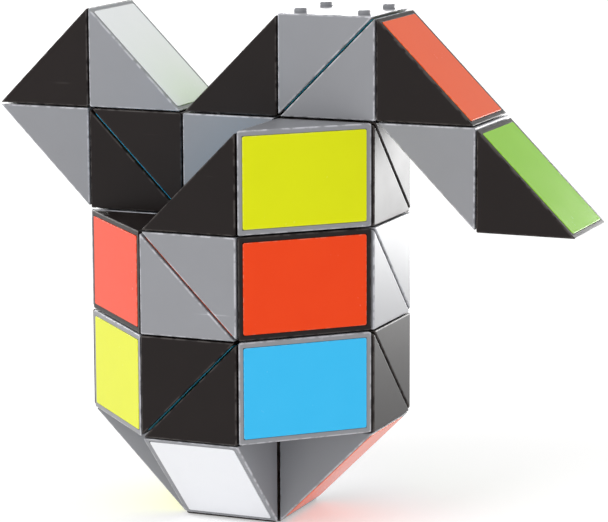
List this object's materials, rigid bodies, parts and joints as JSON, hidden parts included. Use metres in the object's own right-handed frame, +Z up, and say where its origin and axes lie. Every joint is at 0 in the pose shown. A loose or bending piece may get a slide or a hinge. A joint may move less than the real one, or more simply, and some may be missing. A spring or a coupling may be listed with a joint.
{
  "type": "twisty snake puzzle",
  "caption": "Twistable snake puzzle: hollow triangular wedges with coloured tiles, pivoted face to face in a chain and folded into a standing figure.",
  "frame": {"origin": "on the floor, under the middle of the folded figure", "axes": "+X along the figure's length towards its drooping arm, +Y from its front to its back, +Z up"},
  "size_m": [0.119, 0.0598, 0.1006],
  "materials": {
    "black_plastic": "satin moulded plastic, near black",
    "grey_plastic": "satin moulded plastic, mid grey",
    "blue_tile": "glossy sky blue moulded tile",
    "green_tile": "glossy leaf green moulded tile",
    "orange_tile": "glossy orange moulded tile",
    "yellow_tile": "glossy lemon yellow moulded tile",
    "white_tile": "glossy white moulded tile",
    "red_tile": "glossy orange red moulded tile",
    "steel": "zinc plated steel of the pivot screws and washers"
  },
  "bodies": {
    "link_01": {"wedge_01": "grey_plastic"},
    "link_02": {"wedge_02": "black_plastic"},
    "link_03": {"wedge_03": "grey_plastic"},
    "link_04": {"wedge_04": "black_plastic"},
    "link_05": {"wedge_05": "grey_plastic", "tile_05": "white_tile"},
    "link_06": {"wedge_06": "black_plastic"},
    "link_07": {"wedge_07": "grey_plastic"},
    "link_08": {"wedge_08": "black_plastic"},
    "link_09": {"wedge_09": "grey_plastic"},
    "link_10": {"wedge_10": "black_plastic", "tile_10": "red_tile"},
    "link_11": {"wedge_11": "grey_plastic"},
    "link_12": {"wedge_12": "black_plastic"},
    "link_13": {"wedge_13": "grey_plastic", "tile_13": "yellow_tile"},
    "link_14": {"wedge_14": "black_plastic"},
    "link_15": {"wedge_15": "grey_plastic"},
    "link_16": {"wedge_16": "black_plastic"},
    "link_17": {"wedge_17": "grey_plastic"},
    "link_18": {"wedge_18": "black_plastic"},
    "link_19": {"wedge_19": "grey_plastic"},
    "link_20": {"wedge_20": "black_plastic"},
    "link_21": {"wedge_21": "grey_plastic"},
    "link_22": {"wedge_22": "black_plastic"},
    "link_23": {"wedge_23": "grey_plastic", "tile_23": "white_tile"},
    "link_24": {"wedge_24": "black_plastic"},
    "link_25": {"wedge_25": "grey_plastic", "tile_25": "blue_tile"},
    "link_26": {"wedge_26": "black_plastic"},
    "link_27": {"wedge_27": "grey_plastic", "tile_27": "orange_tile"},
    "link_28": {"wedge_28": "black_plastic"},
    "link_29": {"wedge_29": "grey_plastic"},
    "link_30": {"wedge_30": "black_plastic"},
    "link_31": {"wedge_31": "grey_plastic"},
    "link_32": {"wedge_32": "black_plastic"},
    "link_33": {"wedge_33": "grey_plastic"},
    "link_34": {"wedge_34": "black_plastic", "tile_34": "red_tile"},
    "link_35": {"wedge_35": "grey_plastic"},
    "link_36": {"wedge_36": "black_plastic"},
    "link_37": {"wedge_37": "grey_plastic", "tile_37": "yellow_tile"},
    "link_38": {"wedge_38": "black_plastic"},
    "link_39": {"wedge_39": "grey_plastic"},
    "link_40": {"wedge_40": "black_plastic"},
    "link_41": {"wedge_41": "grey_plastic"},
    "link_42": {"wedge_42": "black_plastic"},
    "link_43": {"wedge_43": "grey_plastic"},
    "link_44": {"wedge_44": "black_plastic"},
    "link_45": {"wedge_45": "grey_plastic"},
    "link_46": {"wedge_46": "black_plastic", "tile_46": "orange_tile"},
    "link_47": {"wedge_47": "grey_plastic"},
    "link_48": {"wedge_48": "black_plastic", "tile_48": "green_tile"}
  },
  "joints": [
    {"name": "plug_24_25", "type": "slide", "parent": "link_24", "child": "link_25", "axis": [1, 0, 0], "range_m": [0, 0.13]},
    {"name": "pivot_45_46", "type": "hinge", "parent": "link_45", "child": "link_46", "pos_m": [0.02, 0, 0.08985], "axis": [1, 0, 0], "continuous": true},
    {"name": "pivot_47_48", "type": "hinge", "parent": "link_47", "child": "link_48", "pos_m": [0.04, 0, 0.06985], "axis": [1, 0, 0], "continuous": true},
    {"name": "pivot_41_42", "type": "hinge", "parent": "link_41", "child": "link_42", "pos_m": [-0.01, 0.02, 0.05985], "axis": [0, 0, 1], "range_deg": [-0.75, 180]},
    {"name": "pivot_46_47", "type": "hinge", "parent": "link_46", "child": "link_47", "pos_m": [0.03, 0, 0.07985], "axis": [0, 0, 1], "range_deg": [-4.05, 4.05]},
    {"name": "pivot_44_45", "type": "hinge", "parent": "link_44", "child": "link_45", "pos_m": [0.01, 0, 0.07985], "axis": [0, 0, -1], "range_deg": [-2.5, 2.5]},
    {"name": "pivot_43_44", "type": "hinge", "parent": "link_43", "child": "link_44", "pos_m": [0.01, 0.01, 0.06985], "axis": [0, 1, 0], "range_deg": [-0.55, 2.5]},
    {"name": "pivot_42_43", "type": "hinge", "parent": "link_42", "child": "link_43", "pos_m": [0, 0.02, 0.06985], "axis": [-1, 0, 0], "range_deg": [-0.55, 0.75]},
    {"name": "pivot_01_02", "type": "hinge", "parent": "link_02", "child": "link_01", "pos_m": [0, 0, 0.08985], "axis": [1, 0, 0], "range_deg": [-2.5, 2.5]},
    {"name": "pivot_02_03", "type": "hinge", "parent": "link_03", "child": "link_02", "pos_m": [-0.01, 0, 0.07985], "axis": [0, 0, -1], "range_deg": [-2.6, 2.6]},
    {"name": "pivot_03_04", "type": "hinge", "parent": "link_04", "child": "link_03", "pos_m": [-0.02, 0, 0.06985], "axis": [-1, 0, 0], "range_deg": [-2.6, 2.6]},
    {"name": "pivot_04_05", "type": "hinge", "parent": "link_05", "child": "link_04", "pos_m": [-0.03, 0, 0.07985], "axis": [0, 0, -1], "range_deg": [-2.5, 2.5]},
    {"name": "pivot_05_06", "type": "hinge", "parent": "link_06", "child": "link_05", "pos_m": [-0.04, 0, 0.08985], "axis": [1, 0, 0], "range_deg": [-2.5, 2.5]},
    {"name": "pivot_06_07", "type": "hinge", "parent": "link_07", "child": "link_06", "pos_m": [-0.05, 0, 0.07985], "axis": [0, 0, 1], "range_deg": [-2.6, 2.6]},
    {"name": "pivot_07_08", "type": "hinge", "parent": "link_08", "child": "link_07", "pos_m": [-0.04, 0, 0.06985], "axis": [-1, 0, 0], "range_deg": [-2.5, 2.5]},
    {"name": "pivot_08_09", "type": "hinge", "parent": "link_09", "child": "link_08", "pos_m": [-0.03, 0, 0.05985], "axis": [0, 0, -1], "range_deg": [-2.8, 2.8]},
    {"name": "pivot_09_10", "type": "hinge", "parent": "link_10", "child": "link_09", "pos_m": [-0.03, -0.01, 0.04985], "axis": [0, -1, 0], "range_deg": [-0.2, 2.5]},
    {"name": "pivot_10_11", "type": "hinge", "parent": "link_11", "child": "link_10", "pos_m": [-0.02, -0.02, 0.04985], "axis": [-1, 0, 0], "range_deg": [-1.75, 0.55]},
    {"name": "pivot_11_12", "type": "hinge", "parent": "link_12", "child": "link_11", "pos_m": [-0.01, -0.02, 0.03985], "axis": [0, 0, 1], "range_deg": [-0.75, 2.5]},
    {"name": "pivot_12_13", "type": "hinge", "parent": "link_13", "child": "link_12", "pos_m": [-0.02, -0.02, 0.02985], "axis": [1, 0, 0], "range_deg": [-0.35, 1.75]},
    {"name": "pivot_13_14", "type": "hinge", "parent": "link_14", "child": "link_13", "pos_m": [-0.03, -0.01, 0.02985], "axis": [0, -1, 0], "range_deg": [-0.15, 1.25]},
    {"name": "pivot_14_15", "type": "hinge", "parent": "link_15", "child": "link_14", "pos_m": [-0.03, 0, 0.03985], "axis": [0, 0, -1], "range_deg": [-0.75, 2.5]},
    {"name": "pivot_15_16", "type": "hinge", "parent": "link_16", "child": "link_15", "pos_m": [-0.03, 0.01, 0.04985], "axis": [0, -1, 0], "range_deg": [-0.2, 0.55]},
    {"name": "pivot_16_17", "type": "hinge", "parent": "link_17", "child": "link_16", "pos_m": [-0.02, 0.02, 0.04985], "axis": [1, 0, 0], "range_deg": [-0.4, 0.35]},
    {"name": "pivot_17_18", "type": "hinge", "parent": "link_18", "child": "link_17", "pos_m": [-0.01, 0.02, 0.03985], "axis": [0, 0, 1], "range_deg": [-0.75, 0.4]},
    {"name": "pivot_18_19", "type": "hinge", "parent": "link_19", "child": "link_18", "pos_m": [-0.02, 0.02, 0.02985], "axis": [-1, 0, 0], "range_deg": [-0.4, 0.4]},
    {"name": "pivot_19_20", "type": "hinge", "parent": "link_20", "child": "link_19", "pos_m": [-0.03, 0.01, 0.02985], "axis": [0, 1, 0], "range_deg": [-1.25, 0.15]},
    {"name": "pivot_20_21", "type": "hinge", "parent": "link_21", "child": "link_20", "pos_m": [-0.03, 0, 0.01985], "axis": [0, 0, -1], "range_deg": [-0.75, 0.75]},
    {"name": "pivot_21_22", "type": "hinge", "parent": "link_22", "child": "link_21", "pos_m": [-0.02, 0, 0.00985], "axis": [-1, 0, 0], "range_deg": [-0.75, 0.75]},
    {"name": "pivot_22_23", "type": "hinge", "parent": "link_22", "child": "link_23", "pos_m": [-0.01, -0.01, 0.00985], "axis": [0, 1, 0], "range_deg": [-0.15, 2.5]},
    {"name": "pivot_23_24", "type": "hinge", "parent": "link_23", "child": "link_24", "pos_m": [-0.01, -0.02, 0.01985], "axis": [0, 0, -1], "range_deg": [-0.4, 2.5]},
    {"name": "pivot_25_26", "type": "hinge", "parent": "link_25", "child": "link_26", "pos_m": [0.01, -0.01, 0.02985], "axis": [0, -1, 0], "range_deg": [-0.55, 0.25]},
    {"name": "pivot_26_27", "type": "hinge", "parent": "link_26", "child": "link_27", "pos_m": [0.01, 0, 0.01985], "axis": [0, 0, 1], "range_deg": [-0.75, 0.55]},
    {"name": "pivot_27_28", "type": "hinge", "parent": "link_27", "child": "link_28", "pos_m": [0, 0, 0.00985], "axis": [-1, 0, 0], "range_deg": [-0.5, 0.75]},
    {"name": "pivot_28_29", "type": "hinge", "parent": "link_28", "child": "link_29", "pos_m": [-0.01, 0.01, 0.00985], "axis": [0, -1, 0], "range_deg": [-0.5, 0.15]},
    {"name": "pivot_29_30", "type": "hinge", "parent": "link_29", "child": "link_30", "pos_m": [-0.01, 0.02, 0.01985], "axis": [0, 0, -1], "range_deg": [-2.5, 0.4]},
    {"name": "pivot_30_31", "type": "hinge", "parent": "link_30", "child": "link_31", "pos_m": [0, 0.02, 0.02985], "axis": [1, 0, 0], "range_deg": [-0.75, 0.3]},
    {"name": "pivot_31_32", "type": "hinge", "parent": "link_31", "child": "link_32", "pos_m": [0.01, 0.01, 0.02985], "axis": [0, -1, 0], "range_deg": [-1.75, 0.25]},
    {"name": "pivot_32_33", "type": "hinge", "parent": "link_32", "child": "link_33", "pos_m": [0.01, 0, 0.03985], "axis": [0, 0, 1], "range_deg": [-0.75, 0.75]},
    {"name": "pivot_33_34", "type": "hinge", "parent": "link_33", "child": "link_34", "pos_m": [0.01, -0.01, 0.04985], "axis": [0, 1, 0], "range_deg": [-0.35, 1.75]},
    {"name": "pivot_34_35", "type": "hinge", "parent": "link_34", "child": "link_35", "pos_m": [0, -0.02, 0.04985], "axis": [-1, 0, 0], "range_deg": [-0.75, 0.3]},
    {"name": "pivot_35_36", "type": "hinge", "parent": "link_35", "child": "link_36", "pos_m": [-0.01, -0.02, 0.05985], "axis": [0, 0, -1], "range_deg": [-0.4, 0.75]},
    {"name": "pivot_36_37", "type": "hinge", "parent": "link_36", "child": "link_37", "pos_m": [0, -0.02, 0.06985], "axis": [1, 0, 0], "range_deg": [-0.3, 0.75]},
    {"name": "pivot_37_38", "type": "hinge", "parent": "link_37", "child": "link_38", "pos_m": [0.01, -0.01, 0.06985], "axis": [0, -1, 0], "range_deg": [-1.25, 0.55]},
    {"name": "pivot_38_39", "type": "hinge", "parent": "link_38", "child": "link_39", "pos_m": [0.01, 0, 0.05985], "axis": [0, 0, 1], "range_deg": [-2.5, 0.75]},
    {"name": "pivot_39_40", "type": "hinge", "parent": "link_39", "child": "link_40", "pos_m": [0.01, 0.01, 0.04985], "axis": [0, 1, 0], "range_deg": [-0.35, 1.75]},
    {"name": "pivot_40_41", "type": "hinge", "parent": "link_40", "child": "link_41", "pos_m": [0, 0.02, 0.04985], "axis": [1, 0, 0], "range_deg": [-0.75, 0.35]}
  ]
}
